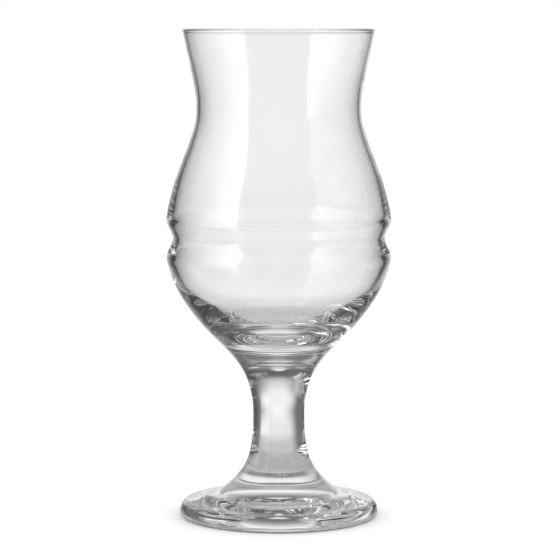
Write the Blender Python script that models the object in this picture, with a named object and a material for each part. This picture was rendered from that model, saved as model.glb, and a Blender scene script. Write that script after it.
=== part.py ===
"""Stemmed beer glass: a blown bowl, a pressed stem and a pressed foot, each a turned solid. Metres, +Z up."""

import math

import bpy

# Whole glass
HEIGHT = 0.1808
SEGMENTS = 48
WELD_GAP = 0.0003

# Outer outline, as (height, radius, change of radius with height)
LIP = (0.18015, 0.0353, 0.16)
WAIST = (0.1517, 0.03045, 0.0)
SHOULDER = (0.1280, 0.0373, -0.362)
BELLY = (0.1024, 0.0422, 0.0)
BOWL_TAIL = (0.0658, 0.0229, 1.04)
NECK = (0.0528, 0.0126, 0.43)
STEM_WAIST = (0.0388, 0.0096, 0.0)
STEM_FLARE = (0.0214, 0.0117, -0.34)
FOOT_CROWN = (0.0103, 0.0206, -1.24)
OUTER_STATIONS = (LIP, WAIST, SHOULDER, BELLY, BOWL_TAIL, NECK, STEM_WAIST, STEM_FLARE, FOOT_CROWN)

# Groove rolled round the belly, which shows on the inside too
GROOVE_HEIGHT = 0.1037
GROOVE_DEPTH = 0.0029
GROOVE_REACH = 0.00765
INNER_GROOVE_DEPTH = 0.0024
INNER_GROOVE_REACH = 0.0085

# Fire-polished bead round the lip: how far it stands out of each side of the wall, and over what height
LIP_BEAD = 0.00014
LIP_BEAD_REACH = 0.0009

# Inner outline of the bowl, in the same terms, down to the conic cap of its floor
INNER_LIP = (0.18015, 0.0342, 0.16)
INNER_WAIST = (0.1520, 0.0290, 0.0)
INNER_SHOULDER = (0.1280, 0.0354, -0.35)
INNER_BELLY = (0.1030, 0.0394, 0.0)
INNER_LOW = (0.0870, 0.0355, 0.53)
INNER_TAIL = (0.0768, 0.0268, 1.05)
INNER_STATIONS = (INNER_LIP, INNER_WAIST, INNER_SHOULDER, INNER_BELLY, INNER_LOW, INNER_TAIL)
INNER_FLOOR = 0.0678

# Heights where the three gathers of glass are fused
BOWL_WELD = 0.0640
FOOT_WELD = 0.0180

# Foot disc: its middle, as (radius, height, change of height with radius), then the round edge, which is
# widest at the nose, the flat rest ring and the shallow hollow underneath
FOOT_RADIUS = 0.0369
FOOT_DISC = (0.0267, 0.0076, -0.44)
FOOT_EDGE = 0.0029
FOOT_EDGE_TOP = 0.00587
FOOT_EDGE_FALL = -0.1
FOOT_NOSE = 0.0018
HOLLOW_RADIUS = 0.0193
HOLLOW_RISE = 0.0035

GLASS_COLOUR = (0.93, 0.95, 0.95, 1.0)
GLASS_ROUGHNESS = 0.02
GLASS_IOR = 1.52


def clear_scene():
    for item in list(bpy.data.objects):
        bpy.data.objects.remove(item, do_unlink=True)


def through_stations(place, stations):
    """Value at a place on the cubic through stations of (place, value, slope), highest place first."""
    for upper, lower in zip(stations, stations[1:]):
        if place >= lower[0]:
            break
    span = upper[0] - lower[0]
    t = (place - lower[0]) / span
    rise = t * t * (3 - 2 * t)
    bend = t * (1 - t) * ((1 - t) * lower[2] - t * upper[2])
    return lower[1] + (upper[1] - lower[1]) * rise + span * bend


def cosine_wave(height, middle, depth, reach):
    """Depth at a height of one wave of a cosine that reaches that far above and below its middle."""
    offset = min(1.0, abs(height - middle) / reach)
    return depth * 0.5 * (1 + math.cos(math.pi * offset))


def lip_bead(height):
    return cosine_wave(height, LIP[0], LIP_BEAD, LIP_BEAD_REACH)


def outer_radius(height):
    groove = cosine_wave(height, GROOVE_HEIGHT, GROOVE_DEPTH, GROOVE_REACH)
    return through_stations(height, OUTER_STATIONS) - groove + lip_bead(height)


def floor_radius(height):
    """Radius of the floor: its square is a quadratic in the rise that meets the last inner station."""
    depth = INNER_TAIL[0] - INNER_FLOOR
    radius = INNER_TAIL[1]
    slope = INNER_TAIL[2]
    tip = 2 * radius * (radius / depth - slope)
    bend = (2 * radius * slope * depth - radius * radius) / depth ** 2
    rise = height - INNER_FLOOR
    return math.sqrt(tip * rise + bend * rise * rise)


def inner_radius(height):
    groove = cosine_wave(height, GROOVE_HEIGHT, INNER_GROOVE_DEPTH, INNER_GROOVE_REACH)
    return through_stations(height, INNER_STATIONS) - groove - lip_bead(height)


def steps(start, end, count):
    """Evenly spaced values from start up to but without end."""
    return [start + (end - start) * i / count for i in range(count)]


def descend(levels, counts):
    """Heights from the first level down to the last, with a count of steps between each two levels."""
    heights = []
    for upper, lower, count in zip(levels, levels[1:], counts):
        heights += steps(upper, lower, count)
    return heights + [levels[-1]]


def bowl_outline():
    """Outline from the middle of the floor, up inside, over the lip and down outside to the fused face."""
    floor_count = 9
    bead_start = LIP[0] - LIP_BEAD_REACH
    groove_top = GROOVE_HEIGHT + INNER_GROOVE_REACH
    groove_end = GROOVE_HEIGHT - INNER_GROOVE_REACH
    outer_levels = (LIP[0], bead_start, WAIST[0], SHOULDER[0], groove_top, groove_end, BOWL_TAIL[0],
                    BOWL_WELD + WELD_GAP / 2)
    outer = [(outer_radius(z), z) for z in descend(outer_levels, (3, 5, 5, 4, 12, 7, 1))]
    inner_levels = (LIP[0], bead_start, INNER_WAIST[0], INNER_SHOULDER[0], groove_top, groove_end,
                    INNER_LOW[0], INNER_TAIL[0])
    inner = [(inner_radius(z), z) for z in descend(inner_levels, (3, 5, 5, 4, 12, 3, 4))]
    for share in steps(1.0, 0.0, floor_count)[1:]:
        height = INNER_FLOOR + (INNER_TAIL[0] - INNER_FLOOR) * share ** 2
        inner.append((floor_radius(height), height))
    inner.append((0.0, INNER_FLOOR))
    lip_middle = (LIP[1] + INNER_LIP[1]) / 2
    lip_half = (LIP[1] - INNER_LIP[1]) / 2 + LIP_BEAD
    lip_rise = HEIGHT - LIP[0]
    lip = []
    for angle in steps(math.pi, 0.0, 6)[1:]:
        lip.append((lip_middle + lip_half * math.cos(angle), LIP[0] + lip_rise * math.sin(angle)))
    return inner[::-1] + lip + outer + [(0.0, BOWL_WELD + WELD_GAP / 2)]


def stem_outline():
    top = BOWL_WELD - WELD_GAP / 2
    end = FOOT_WELD + WELD_GAP / 2
    levels = (top, NECK[0], STEM_WAIST[0], STEM_FLARE[0], end)
    side = [(outer_radius(z), z) for z in descend(levels, (5, 4, 4, 2))]
    return [(0.0, top)] + side + [(0.0, end)]


def foot_outline():
    top = FOOT_WELD - WELD_GAP / 2
    flare = [(outer_radius(z), z) for z in descend((top, FOOT_CROWN[0]), (5,))]
    rest_radius = FOOT_RADIUS - FOOT_EDGE
    crown = (FOOT_CROWN[1], FOOT_CROWN[0], 1 / FOOT_CROWN[2])
    disc_stations = ((rest_radius, FOOT_EDGE_TOP, FOOT_EDGE_FALL), FOOT_DISC, crown)
    disc = []
    for radius in steps(FOOT_CROWN[1], rest_radius, 8)[1:]:
        disc.append((radius, through_stations(radius, disc_stations)))
    edge = []
    for angle in steps(math.pi / 2, 0.0, 5):
        rise = (FOOT_EDGE_TOP - FOOT_NOSE) * math.sin(angle)
        edge.append((rest_radius + FOOT_EDGE * math.cos(angle), FOOT_NOSE + rise))
    for angle in steps(0.0, -math.pi / 2, 5):
        edge.append((rest_radius + FOOT_EDGE * math.cos(angle), FOOT_NOSE + FOOT_NOSE * math.sin(angle)))
    edge.append((rest_radius, 0.0))
    hollow = []
    for radius in steps(HOLLOW_RADIUS, 0.0, 6):
        hollow.append((radius, HOLLOW_RISE * (1 - (radius / HOLLOW_RADIUS) ** 2)))
    return [(0.0, top)] + flare + disc + edge + hollow + [(0.0, HOLLOW_RISE)]


def clear_glass(name):
    material = bpy.data.materials.new(name)
    material.use_nodes = True
    shader = material.node_tree.nodes["Principled BSDF"]
    shader.inputs["Base Color"].default_value = GLASS_COLOUR
    shader.inputs["Roughness"].default_value = GLASS_ROUGHNESS
    shader.inputs["Metallic"].default_value = 0.0
    shader.inputs["IOR"].default_value = GLASS_IOR
    shader.inputs["Transmission Weight"].default_value = 1.0
    return material


def turned_piece(name, outline, material):
    """Turn an outline that starts and ends on the Z axis and runs down its outer side into a closed solid."""
    mesh = bpy.data.meshes.new(name)
    edges = [(i, i + 1) for i in range(len(outline) - 1)]
    mesh.from_pydata([(radius, 0.0, height) for radius, height in outline], edges, [])
    mesh.materials.append(material)
    piece = bpy.data.objects.new(name, mesh)
    bpy.context.collection.objects.link(piece)
    turn = piece.modifiers.new("turn", "SCREW")
    turn.axis = "Z"
    turn.steps = SEGMENTS
    turn.render_steps = SEGMENTS
    turn.use_merge_vertices = True
    turn.merge_threshold = 0.00001
    turn.use_smooth_shade = True
    return piece


clear_scene()
turned_piece("bowl", bowl_outline(), clear_glass("bowl_glass"))
turned_piece("stem", stem_outline(), clear_glass("stem_glass"))
turned_piece("foot", foot_outline(), clear_glass("foot_glass"))
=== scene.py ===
import math

import bpy
import numpy as np
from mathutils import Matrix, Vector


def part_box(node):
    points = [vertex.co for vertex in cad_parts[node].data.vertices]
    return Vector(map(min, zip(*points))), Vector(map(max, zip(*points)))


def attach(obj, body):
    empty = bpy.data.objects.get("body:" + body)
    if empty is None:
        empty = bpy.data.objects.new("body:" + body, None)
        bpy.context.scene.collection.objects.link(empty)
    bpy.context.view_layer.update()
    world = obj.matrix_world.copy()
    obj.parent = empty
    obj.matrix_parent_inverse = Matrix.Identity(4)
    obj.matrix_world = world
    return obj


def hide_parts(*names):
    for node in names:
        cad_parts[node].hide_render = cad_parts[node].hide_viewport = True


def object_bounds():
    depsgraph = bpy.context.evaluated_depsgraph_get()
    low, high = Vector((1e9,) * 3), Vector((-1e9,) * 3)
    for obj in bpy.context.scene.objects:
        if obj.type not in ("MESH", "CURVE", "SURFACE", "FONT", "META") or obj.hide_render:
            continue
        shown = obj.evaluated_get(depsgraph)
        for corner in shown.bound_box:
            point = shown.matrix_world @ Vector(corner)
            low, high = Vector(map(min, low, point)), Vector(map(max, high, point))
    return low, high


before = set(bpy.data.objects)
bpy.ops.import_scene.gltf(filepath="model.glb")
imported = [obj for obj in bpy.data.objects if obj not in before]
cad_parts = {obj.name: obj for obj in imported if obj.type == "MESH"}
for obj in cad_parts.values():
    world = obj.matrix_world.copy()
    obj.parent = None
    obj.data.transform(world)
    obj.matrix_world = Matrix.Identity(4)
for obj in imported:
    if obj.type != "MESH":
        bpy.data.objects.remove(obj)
cad_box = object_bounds()

# Outer outline of the glass in metres. A station is (height, radius, change of radius with height).
HEIGHT = cad_box[1].z
LIP = (0.18015, 0.0353, 0.16)
WAIST = (0.1517, 0.03045, 0.0)
SHOULDER = (0.1280, 0.0373, -0.362)
BELLY = (0.1024, 0.0422, 0.0)
BOWL_TAIL = (0.0658, 0.0229, 1.04)
NECK = (0.0528, 0.0126, 0.43)
STEM_WAIST = (0.0388, 0.0096, 0.0)
STEM_FLARE = (0.0214, 0.0117, -0.34)
FOOT_CROWN = (0.0103, 0.0206, -1.24)
OUTER_STATIONS = (LIP, WAIST, SHOULDER, BELLY, BOWL_TAIL, NECK, STEM_WAIST, STEM_FLARE, FOOT_CROWN)

# Inner outline of the bowl, down to the conic cap of its floor
INNER_LIP = (0.18015, 0.0342, 0.16)
INNER_WAIST = (0.1520, 0.0290, 0.0)
INNER_SHOULDER = (0.1280, 0.0354, -0.35)
INNER_BELLY = (0.1030, 0.0394, 0.0)
INNER_LOW = (0.0870, 0.0355, 0.53)
INNER_TAIL = (0.0768, 0.0268, 1.05)
INNER_STATIONS = (INNER_LIP, INNER_WAIST, INNER_SHOULDER, INNER_BELLY, INNER_LOW, INNER_TAIL)
INNER_FLOOR = 0.0678

# Groove rolled round the belly, which shows on the inside too
GROOVE_HEIGHT = 0.1037
GROOVE_DEPTH = 0.0029
GROOVE_REACH = 0.00765
INNER_GROOVE_DEPTH = 0.0024
INNER_GROOVE_REACH = 0.0085

# Fire-polished bead round the lip: how far it stands out of each side of the wall, and over what height
LIP_BEAD = 0.00014
LIP_BEAD_REACH = 0.0009

# Foot: the middle of its disc, as (radius, height, change of height with radius), its edge and its hollow
FOOT_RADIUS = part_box("foot")[1].x
FOOT_DISC = (0.0267, 0.0076, -0.44)
FOOT_EDGE = 0.0029
FOOT_EDGE_TOP = 0.00587
FOOT_EDGE_FALL = -0.1
FOOT_NOSE = 0.0018
HOLLOW_RADIUS = 0.0193
HOLLOW_RISE = 0.0035

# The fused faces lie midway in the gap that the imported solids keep, with a fine crease round the outside
BOWL_WELD = (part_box("bowl")[0].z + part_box("stem")[1].z) / 2
FOOT_WELD = (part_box("stem")[0].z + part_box("foot")[1].z) / 2
BOWL_CREASE = 0.00014
FOOT_CREASE = 0.00008
CREASE_REACH = 0.0007

# How finely the outlines are drawn: steps round the axis, then points along each stretch of an outline
SEGMENTS = 192
FLOOR_POINTS = 60
INSIDE_POINTS = 170
BEAD_POINTS = 12
LIP_POINTS = 15
OUTSIDE_POINTS = 230
CREASE_POINTS = 14
STEM_POINTS = 120
FLARE_POINTS = 40
DISC_POINTS = 60
EDGE_POINTS = 20
HOLLOW_POINTS = 30
SHARP_EDGE = math.radians(35)
FLAT_WITHIN = 1e-6

# Clear glass, with waves in its surface: how many to a metre along each axis, how high and how mixed
GLASS_IOR = 1.52
WAVES_PER_METRE = (45.0, 45.0, 170.0)
WAVE_HEIGHT = 0.00004
WAVE_DETAIL = 2.0
WAVE_ROUGHNESS = 0.45

# Camera of the photograph: image side in pixels, focal length in pixels, place and downward pitch
IMAGE_SIDE = 560
FOCAL_PIXELS = 2656.0
CAMERA_DISTANCE = 0.980
CAMERA_HEIGHT = 0.1893
CAMERA_PITCH = 5.898
CAMERA_SIDE = 0.00044
SENSOR_WIDTH = 36.0

# Table, just under the glass, with layers for the cards that lie on it, and the white world round it
TABLE_RADIUS = 1.2
TABLE_SIDES = 96
TABLE_GAP = 0.0002
NEAR_LAYER = TABLE_GAP * 0.9
UNDER_LAYER = TABLE_GAP / 2
TABLE_GREY = 0.9
TABLE_ROUGHNESS = 0.9
WORLD_WHITE = 1.0
WORLD_ON_TABLE = 1.4
LIGHT_BOUNCES = 48

# Studio cards: points across and up each kind of card, a turn all round, and the fade of a crisp edge
DOME_GRID = (49, 33)
STANDING_GRID = (33, 5)
LYING_GRID = (49, 9)
ALL_ROUND = (-180, 180)
CRISP = 0.0001


def through_stations(places, stations):
    """Values at places on the cubics that pass each station of (place, value, slope) with its slope.

    Between two stations the value eases from one to the other along 3 t squared less 2 t cubed, and each
    slope adds a bend that dies out toward the other station."""
    ordered = np.array(sorted(stations))
    index = np.clip(np.searchsorted(ordered[:, 0], places) - 1, 0, len(ordered) - 2)
    place0, value0, slope0 = ordered[index].T
    place1, value1, slope1 = ordered[index + 1].T
    span = place1 - place0
    t = (places - place0) / span
    ease = t * t * (3 - 2 * t)
    bend = t * (1 - t) * ((1 - t) * slope0 - t * slope1)
    return value0 + (value1 - value0) * ease + span * bend


def cosine_wave(heights, middle, depth, reach):
    """Depth at heights of one wave of a cosine that reaches that far above and below its middle."""
    offset = np.clip(np.abs(heights - middle) / reach, 0, 1)
    return depth * 0.5 * (1 + np.cos(np.pi * offset))


def lip_bead(heights):
    """How far the fire-polished bead of the lip stands out of the wall on each side: half a cosine wave."""
    return cosine_wave(heights, LIP[0], LIP_BEAD, LIP_BEAD_REACH)


def outer_radius(heights):
    """Outer radius: the cubics through the stations less the groove and the creases, plus the lip's bead."""
    groove = cosine_wave(heights, GROOVE_HEIGHT, GROOVE_DEPTH, GROOVE_REACH)
    crease = cosine_wave(heights, BOWL_WELD, BOWL_CREASE, CREASE_REACH)
    crease += cosine_wave(heights, FOOT_WELD, FOOT_CREASE, CREASE_REACH)
    return through_stations(heights, OUTER_STATIONS) - groove - crease + lip_bead(heights)


def inner_radius(heights):
    """Inner radius of the bowl: the stations' cubics less the groove and the bead, on a conic cap as floor.

    The cap's squared radius is a quadratic in the height over the floor, which meets the last station
    with that station's slope."""
    depth = INNER_TAIL[0] - INNER_FLOOR
    radius = INNER_TAIL[1]
    slope = INNER_TAIL[2]
    tip = 2 * radius * (radius / depth - slope)
    bend = (2 * radius * slope * depth - radius * radius) / depth ** 2
    rise = np.clip(heights - INNER_FLOOR, 0, depth)
    cap = np.sqrt(tip * rise + bend * rise * rise)
    wall = np.where(heights >= INNER_TAIL[0], through_stations(heights, INNER_STATIONS), cap)
    groove = cosine_wave(heights, GROOVE_HEIGHT, INNER_GROOVE_DEPTH, INNER_GROOVE_REACH)
    return wall - groove - lip_bead(heights)


def along(levels, counts):
    """Heights from the first level to the last, with a count of even points from each level to the next."""
    stretches = []
    for start, end, count in zip(levels, levels[1:], counts):
        stretches.append(np.linspace(start, end, count)[:-1])
    return np.concatenate(stretches + [[levels[-1]]])


def turned_surface(name, radii, heights, weld_heights):
    """Carry an outline, axis to axis and down its outer side, once round Z. Its ends become single poles.

    Flat faces on a weld height take the second material slot and are shaded flat."""
    turn = np.linspace(0, 2 * np.pi, SEGMENTS, endpoint=False)
    r, z = radii[1:-1, None], heights[1:-1, None]
    rings = np.stack([r * np.cos(turn), r * np.sin(turn), z + 0 * turn], axis=-1).reshape(-1, 3)
    poles = np.array([[0, 0, heights[0]], [0, 0, heights[-1]]])
    points = np.concatenate([rings, poles])
    rows = len(radii) - 2
    first_pole = rows * SEGMENTS
    last_pole = first_pole + 1
    last_ring = first_pole - SEGMENTS
    i = np.arange(SEGMENTS)
    j = (i + 1) % SEGMENTS
    ring = (np.arange(rows - 1) * SEGMENTS)[:, None]
    quads = np.stack([ring + i, ring + SEGMENTS + i, ring + SEGMENTS + j, ring + j], axis=-1).reshape(-1, 4)
    caps = np.concatenate([np.stack([i * 0 + first_pole, i, j], axis=-1),
                           np.stack([last_ring + i, i * 0 + last_pole, last_ring + j], axis=-1)])
    mesh = bpy.data.meshes.new(name)
    mesh.from_pydata(points.tolist(), [], quads.tolist() + caps.tolist())
    level = np.concatenate([points[quads][:, :, 2].mean(axis=1), points[caps][:, :, 2].mean(axis=1)])
    slant = np.concatenate([np.ptp(points[quads][:, :, 2], axis=1), np.ptp(points[caps][:, :, 2], axis=1)])
    weld = np.zeros(len(level), bool)
    for weld_height in weld_heights:
        weld |= (np.abs(level - weld_height) < FLAT_WITHIN) & (slant < FLAT_WITHIN)
    mesh.polygons.foreach_set("use_smooth", ~weld)
    mesh.polygons.foreach_set("material_index", weld.astype(np.int32))
    mesh.set_sharp_from_angle(angle=SHARP_EDGE)
    mesh.update()
    piece = bpy.data.objects.new(name, mesh)
    bpy.context.scene.collection.objects.link(piece)
    return piece


def bowl():
    """Floor up the inside, over the lip on half an ellipse and down the outside to the fused face."""
    bead_start = LIP[0] - LIP_BEAD_REACH
    floor = INNER_FLOOR + (INNER_TAIL[0] - INNER_FLOOR) * np.linspace(0, 1, FLOOR_POINTS) ** 2
    inside = along((INNER_TAIL[0], bead_start, LIP[0]), (INSIDE_POINTS, BEAD_POINTS))
    up = np.concatenate([floor[:-1], inside])
    over = np.linspace(np.pi, 0, LIP_POINTS)[1:-1]
    down = along((LIP[0], bead_start, BOWL_WELD + CREASE_REACH, BOWL_WELD),
                 (BEAD_POINTS, OUTSIDE_POINTS, CREASE_POINTS))
    lip_middle = (LIP[1] + INNER_LIP[1]) / 2
    lip_half = (LIP[1] - INNER_LIP[1]) / 2 + LIP_BEAD
    lip_rise = HEIGHT - LIP[0]
    radii = np.concatenate([inner_radius(up), lip_middle + lip_half * np.cos(over), outer_radius(down), [0]])
    heights = np.concatenate([up, LIP[0] + lip_rise * np.sin(over), down, [BOWL_WELD]])
    radii[0] = 0
    return turned_surface("bowl_glass", radii, heights, (BOWL_WELD,))


def stem():
    """Fused face out to the outer outline, down that outline and back to the axis on the lower fused face."""
    side = along((BOWL_WELD, BOWL_WELD - CREASE_REACH, FOOT_WELD + CREASE_REACH, FOOT_WELD),
                 (CREASE_POINTS, STEM_POINTS, CREASE_POINTS))
    radii = np.concatenate([[0], outer_radius(side), [0]])
    heights = np.concatenate([[BOWL_WELD], side, [FOOT_WELD]])
    return turned_surface("stem_glass", radii, heights, (BOWL_WELD, FOOT_WELD))


def foot():
    """Flare down to the crown, cubics out to the edge, two quarter ellipses, the rest ring and the hollow.

    The hollow is a shallow bowl whose height falls with the square of the radius."""
    flare = along((FOOT_WELD, FOOT_WELD - CREASE_REACH, FOOT_CROWN[0]), (CREASE_POINTS, FLARE_POINTS))
    rest = FOOT_RADIUS - FOOT_EDGE
    crown = (FOOT_CROWN[1], FOOT_CROWN[0], 1 / FOOT_CROWN[2])
    disc = np.linspace(FOOT_CROWN[1], rest, DISC_POINTS)[1:-1]
    disc_rise = through_stations(disc, (crown, FOOT_DISC, (rest, FOOT_EDGE_TOP, FOOT_EDGE_FALL)))
    upper = np.linspace(np.pi / 2, 0, EDGE_POINTS)[:-1]
    lower = np.linspace(0, -np.pi / 2, EDGE_POINTS)
    hollow = np.linspace(HOLLOW_RADIUS, 0, HOLLOW_POINTS)
    radii = np.concatenate([[0], outer_radius(flare), disc, rest + FOOT_EDGE * np.cos(upper),
                            rest + FOOT_EDGE * np.cos(lower), hollow])
    heights = np.concatenate([[FOOT_WELD], flare, disc_rise,
                              FOOT_NOSE + (FOOT_EDGE_TOP - FOOT_NOSE) * np.sin(upper),
                              FOOT_NOSE + FOOT_NOSE * np.sin(lower),
                              HOLLOW_RISE * (1 - (hollow / HOLLOW_RADIUS) ** 2)])
    return turned_surface("foot_glass", radii, heights, (FOOT_WELD,))


def glass_material(name):
    """Clear glass with the faint waves that turning leaves in it, longer round the glass than up it."""
    material = bpy.data.materials.new(name)
    material.use_nodes = True
    nodes, links = material.node_tree.nodes, material.node_tree.links
    place = nodes.new("ShaderNodeTexCoord")
    stretch = nodes.new("ShaderNodeMapping")
    stretch.inputs["Scale"].default_value = WAVES_PER_METRE
    links.new(place.outputs["Object"], stretch.inputs["Vector"])
    waves = nodes.new("ShaderNodeTexNoise")
    waves.inputs["Scale"].default_value = 1.0
    waves.inputs["Detail"].default_value = WAVE_DETAIL
    waves.inputs["Roughness"].default_value = WAVE_ROUGHNESS
    links.new(stretch.outputs["Vector"], waves.inputs["Vector"])
    relief = nodes.new("ShaderNodeBump")
    relief.inputs["Distance"].default_value = WAVE_HEIGHT
    links.new(waves.outputs["Fac"], relief.inputs["Height"])
    shader = nodes["Principled BSDF"]
    shader.inputs["Base Color"].default_value = (1, 1, 1, 1)
    shader.inputs["Roughness"].default_value = 0.0
    shader.inputs["IOR"].default_value = GLASS_IOR
    shader.inputs["Transmission Weight"].default_value = 1.0
    links.new(relief.outputs["Normal"], shader.inputs["Normal"])
    return material


def fused_face_material():
    """Face inside the fused glass, where light passes straight on."""
    material = bpy.data.materials.new("fused_face")
    material.use_nodes = True
    nodes, links = material.node_tree.nodes, material.node_tree.links
    nodes.clear()
    through = nodes.new("ShaderNodeBsdfTransparent")
    out = nodes.new("ShaderNodeOutputMaterial")
    links.new(through.outputs["BSDF"], out.inputs["Surface"])
    return material


def photograph_camera():
    """Camera in front of the glass and a little over it, looking slightly down."""
    lens = bpy.data.cameras.new("camera")
    lens.sensor_width = SENSOR_WIDTH
    lens.lens = FOCAL_PIXELS / IMAGE_SIDE * SENSOR_WIDTH
    camera = bpy.data.objects.new("camera", lens)
    camera.location = (CAMERA_SIDE, -CAMERA_DISTANCE, CAMERA_HEIGHT)
    camera.rotation_euler = (math.radians(90 - CAMERA_PITCH), 0, 0)
    bpy.context.scene.collection.objects.link(camera)
    bpy.context.scene.camera = camera
    bpy.context.view_layer.update()
    return camera


def edge_fade(nodes, links, value, fades):
    """Node output that eases from 0 to 1 over the first share of a 0 to 1 value and back over the last."""
    rises = []
    for end, full in ((0.0, fades[0]), (1.0, 1.0 - fades[1])):
        rise = nodes.new("ShaderNodeMapRange")
        rise.interpolation_type = "SMOOTHSTEP"
        rise.inputs["From Min"].default_value = end
        rise.inputs["From Max"].default_value = full
        links.new(value, rise.inputs["Value"])
        rises.append(rise.outputs["Result"])
    product = nodes.new("ShaderNodeMath")
    product.operation = "MULTIPLY"
    links.new(rises[0], product.inputs[0])
    links.new(rises[1], product.inputs[1])
    return product.outputs["Value"]


def glow_material(name, glow, side_fades, end_fades):
    """Evenly glowing card that thins out to nothing toward its two sides and its lower and upper ends."""
    material = bpy.data.materials.new(name)
    material.use_nodes = True
    material.cycles.emission_sampling = "NONE"
    nodes, links = material.node_tree.nodes, material.node_tree.links
    nodes.clear()
    light = nodes.new("ShaderNodeEmission")
    light.inputs["Strength"].default_value = glow
    card = nodes.new("ShaderNodeUVMap")
    split = nodes.new("ShaderNodeSeparateXYZ")
    links.new(card.outputs["UV"], split.inputs["Vector"])
    cover = nodes.new("ShaderNodeMath")
    cover.operation = "MULTIPLY"
    links.new(edge_fade(nodes, links, split.outputs["X"], side_fades), cover.inputs[0])
    links.new(edge_fade(nodes, links, split.outputs["Y"], end_fades), cover.inputs[1])
    clear = nodes.new("ShaderNodeBsdfTransparent")
    blend = nodes.new("ShaderNodeMixShader")
    links.new(cover.outputs["Value"], blend.inputs["Fac"])
    links.new(clear.outputs["BSDF"], blend.inputs[1])
    links.new(light.outputs["Emission"], blend.inputs[2])
    out = nodes.new("ShaderNodeOutputMaterial")
    links.new(blend.outputs["Shader"], out.inputs["Surface"])
    return material


def studio_card(name, stand, points, glow, side_fades=(CRISP, CRISP), end_fades=(CRISP, CRISP)):
    """Card through a grid of points, seen only in the glass, that turns with the stand.

    A fade is the share of the card over which it thins out, at its left and right sides or at its lower and
    upper ends."""
    rows, columns = points.shape[:2]
    across, up = np.meshgrid(np.linspace(0, 1, columns), np.linspace(0, 1, rows))
    first = np.arange(rows - 1)[:, None] * columns + np.arange(columns - 1)
    quads = np.stack([first, first + 1, first + columns + 1, first + columns], axis=-1).reshape(-1, 4)
    mesh = bpy.data.meshes.new(name)
    mesh.from_pydata(points.reshape(-1, 3).tolist(), [], quads.tolist())
    layer = mesh.uv_layers.new(name="card")
    layer.data.foreach_set("uv", np.stack([across, up], axis=-1).reshape(-1, 2)[quads.ravel()].ravel())
    mesh.materials.append(glow_material(name, glow, side_fades, end_fades))
    card = bpy.data.objects.new(name, mesh)
    bpy.context.scene.collection.objects.link(card)
    card.visible_camera = False
    card.visible_diffuse = False
    card.visible_shadow = False
    card.parent = stand
    card.matrix_parent_inverse = stand.matrix_world.inverted()


def card_grid(azimuth, other, counts):
    """Grid of azimuths, given in degrees from the way the camera looks to its right, and a second range."""
    return np.meshgrid(np.radians(np.linspace(*azimuth, counts[0])), np.linspace(*other, counts[1]))


def dome_points(distance, azimuth, elevation):
    """Patch of a sphere round the middle of the glass, between two azimuths and two elevations in degrees."""
    side, rise = card_grid(azimuth, np.radians(elevation), DOME_GRID)
    towards = np.stack([np.cos(rise) * np.sin(side), np.cos(rise) * np.cos(side), np.sin(rise)], axis=-1)
    return distance * towards + np.array([0, 0, HEIGHT / 2])


def standing_points(distance, azimuth, levels):
    """Patch of an upright cylinder round the glass, between two azimuths in degrees and two levels."""
    side, level = card_grid(azimuth, levels, STANDING_GRID)
    return np.stack([distance * np.sin(side), distance * np.cos(side), level], axis=-1)


def lying_points(azimuth, reach, depth):
    """Sector of the table top between two azimuths in degrees and two distances, that far under the glass."""
    side, distance = card_grid(azimuth, reach, LYING_GRID)
    return np.stack([distance * np.sin(side), distance * np.cos(side), 0 * side - depth], axis=-1)


def studio_stand(camera):
    """Empty at the middle of the glass that turns as the camera does, so the studio stays round the view."""
    stand = bpy.data.objects.new("studio_stand", None)
    stand.location = (0, 0, HEIGHT / 2)
    bpy.context.scene.collection.objects.link(stand)
    follow = stand.constraints.new("COPY_ROTATION")
    follow.target = camera
    follow.use_x = False
    follow.use_y = False
    bpy.context.view_layer.update()
    return stand


def room_cards(stand):
    """Dim room all round, with a darker ceiling."""
    studio_card("room", stand,
                dome_points(distance=2.0, azimuth=ALL_ROUND, elevation=(-90, 90)),
                glow=0.17)
    studio_card("zenith", stand,
                dome_points(distance=1.95, azimuth=ALL_ROUND, elevation=(45, 90)),
                glow=0.1, end_fades=(0.4, CRISP))


def light_cards(stand):
    """Soft boxes at both sides, a light high behind the glass, and two small ones behind it to the left."""
    studio_card("left_soft_box", stand,
                dome_points(distance=1.8, azimuth=(-139, -54), elevation=(-42, 60)),
                glow=2.5, side_fades=(0.06, 0.54), end_fades=(0.3, 0.2))
    studio_card("right_soft_box", stand,
                dome_points(distance=1.8, azimuth=(58, 139), elevation=(-42, 60)),
                glow=0.85, side_fades=(0.45, 0.06), end_fades=(0.3, 0.2))
    studio_card("top_light", stand,
                dome_points(distance=1.9, azimuth=(-30, 30), elevation=(44, 84)),
                glow=0.9, side_fades=(0.35, 0.35), end_fades=(0.25, 0.2))
    studio_card("left_fill", stand,
                dome_points(distance=1.76, azimuth=(-50, -18), elevation=(2, 45)),
                glow=0.5, side_fades=(0.3, 0.3), end_fades=(0.2, 0.3))
    studio_card("left_reflector", stand,
                dome_points(distance=1.75, azimuth=(-80, -40), elevation=(9, 30)),
                glow=1.0, side_fades=(0.25, 0.25), end_fades=(0.2, 0.3))


def backdrop_cards(stand):
    """White backdrop, and a low one that stands on the table in front of it."""
    studio_card("backdrop", stand,
                dome_points(distance=1.7, azimuth=(-35, 43), elevation=(-70, 43)),
                glow=1.0, side_fades=(0.41, 0.49), end_fades=(0.18, 0.4))
    studio_card("low_backdrop", stand,
                standing_points(distance=0.3, azimuth=(-36, 36), levels=(-0.001, 0.12)),
                glow=0.94, side_fades=(0.45, 0.25), end_fades=(0.45, 0.5))


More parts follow.
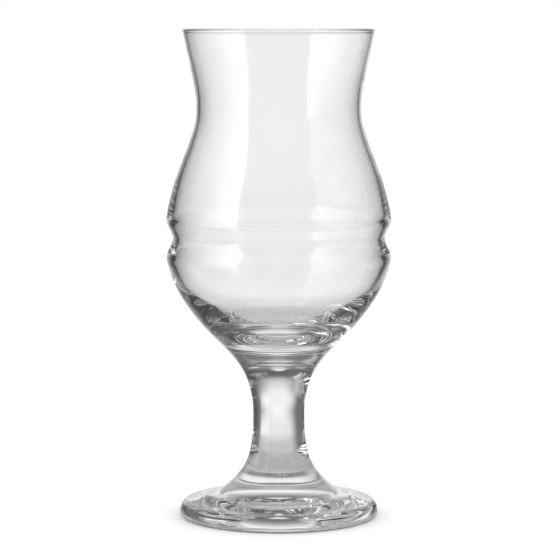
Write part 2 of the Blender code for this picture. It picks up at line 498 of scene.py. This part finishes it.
def table_cards(stand):
    """Table top as the glass sees it: pale behind, with painted shade near the foot and a painted shadow
    under it, where the glass shades the table.
    """
    studio_card("table_behind", stand,
                lying_points(azimuth=(-36, 36), reach=(0.08, 0.3), depth=TABLE_GAP),
                glow=0.86, side_fades=(0.45, 0.14), end_fades=(0.2, 0.75))
    # Painted shade: the table near the foot is drawn greyer here, where the glass shades it.
    studio_card("table_painted_shade", stand,
                lying_points(azimuth=(-36, 42), reach=(0.03, 0.14), depth=NEAR_LAYER),
                glow=0.58, side_fades=(0.35, 0.35), end_fades=(0.2, 0.68))
    # Painted shadow: the table right under the foot is drawn darker still.
    studio_card("table_painted_shadow_under_foot", stand,
                lying_points(azimuth=ALL_ROUND, reach=(0.0, 0.05), depth=UNDER_LAYER),
                glow=0.45, end_fades=(CRISP, 0.3))


def flag_cards(stand):
    """Dark flags close round the glass, which draw its edges: tall ones, one to the front and low ones."""
    studio_card("left_flag", stand,
                standing_points(distance=0.105, azimuth=(-142, -20), levels=(0.04, 0.296)),
                glow=0.05, side_fades=(0.34, 0.33), end_fades=(0.2, 0.78))
    studio_card("right_flag", stand,
                standing_points(distance=0.105, azimuth=(23, 143), levels=(-0.017, 0.296)),
                glow=0.05, side_fades=(0.33, 0.33), end_fades=(0.32, 0.64))
    studio_card("left_front_flag", stand,
                standing_points(distance=0.104, azimuth=(-150, -92), levels=(0.02, 0.11)),
                glow=0.06, side_fades=(0.4, 0.3), end_fades=(0.3, 0.4))
    studio_card("left_low_flag", stand,
                standing_points(distance=0.106, azimuth=(-98, -50), levels=(-0.001, 0.05)),
                glow=0.07, side_fades=(0.1, 0.2), end_fades=(0.02, 0.3))
    studio_card("right_low_flag", stand,
                standing_points(distance=0.075, azimuth=(38, 135), levels=(-0.001, 0.05)),
                glow=0.07, side_fades=(0.1, 0.2), end_fades=(0.02, 0.3))


def table():
    """Flat round top that keeps the shadow of the glass; the glass itself sees the cards on it instead, which
    carry that shade painted in.
    """
    turn = np.linspace(0, 2 * np.pi, TABLE_SIDES, endpoint=False)
    rim = np.stack([TABLE_RADIUS * np.cos(turn), TABLE_RADIUS * np.sin(turn), 0 * turn - TABLE_GAP], axis=-1)
    mesh = bpy.data.meshes.new("table")
    mesh.from_pydata(rim.tolist(), [], [list(range(TABLE_SIDES))])
    material = bpy.data.materials.new("table")
    material.use_nodes = True
    shader = material.node_tree.nodes["Principled BSDF"]
    shader.inputs["Base Color"].default_value = (TABLE_GREY, TABLE_GREY, TABLE_GREY, 1)
    shader.inputs["Roughness"].default_value = TABLE_ROUGHNESS
    mesh.materials.append(material)
    top = bpy.data.objects.new("table", mesh)
    bpy.context.scene.collection.objects.link(top)
    top.visible_glossy = False
    top.visible_transmission = False


def white_world():
    """White for the camera; a little more for the table, so that it too comes out white."""
    world = bpy.data.worlds.new("studio")
    world.use_nodes = True
    nodes, links = world.node_tree.nodes, world.node_tree.links
    path = nodes.new("ShaderNodeLightPath")
    strength = nodes.new("ShaderNodeMapRange")
    strength.inputs["To Min"].default_value = WORLD_WHITE
    strength.inputs["To Max"].default_value = WORLD_ON_TABLE
    links.new(path.outputs["Is Diffuse Ray"], strength.inputs["Value"])
    links.new(strength.outputs["Result"], nodes["Background"].inputs["Strength"])
    nodes["Background"].inputs["Color"].default_value = (1, 1, 1, 1)
    bpy.context.scene.world = world


def deep_light_paths():
    """Let light cross the thick glass as often as it takes."""
    cycles = bpy.context.scene.cycles
    cycles.max_bounces = LIGHT_BOUNCES
    cycles.glossy_bounces = LIGHT_BOUNCES
    cycles.transmission_bounces = LIGHT_BOUNCES
    cycles.transparent_max_bounces = LIGHT_BOUNCES


stand = studio_stand(photograph_camera())
for cards in (room_cards, light_cards, backdrop_cards, table_cards, flag_cards):
    cards(stand)
table()
white_world()
deep_light_paths()
bpy.context.scene.view_settings.view_transform = "Standard"

fused_face = fused_face_material()
for piece, node in ((bowl(), "bowl"), (stem(), "stem"), (foot(), "foot")):
    piece.data.materials.append(glass_material(piece.name))
    piece.data.materials.append(fused_face)
    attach(piece, "root")
    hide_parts(node)
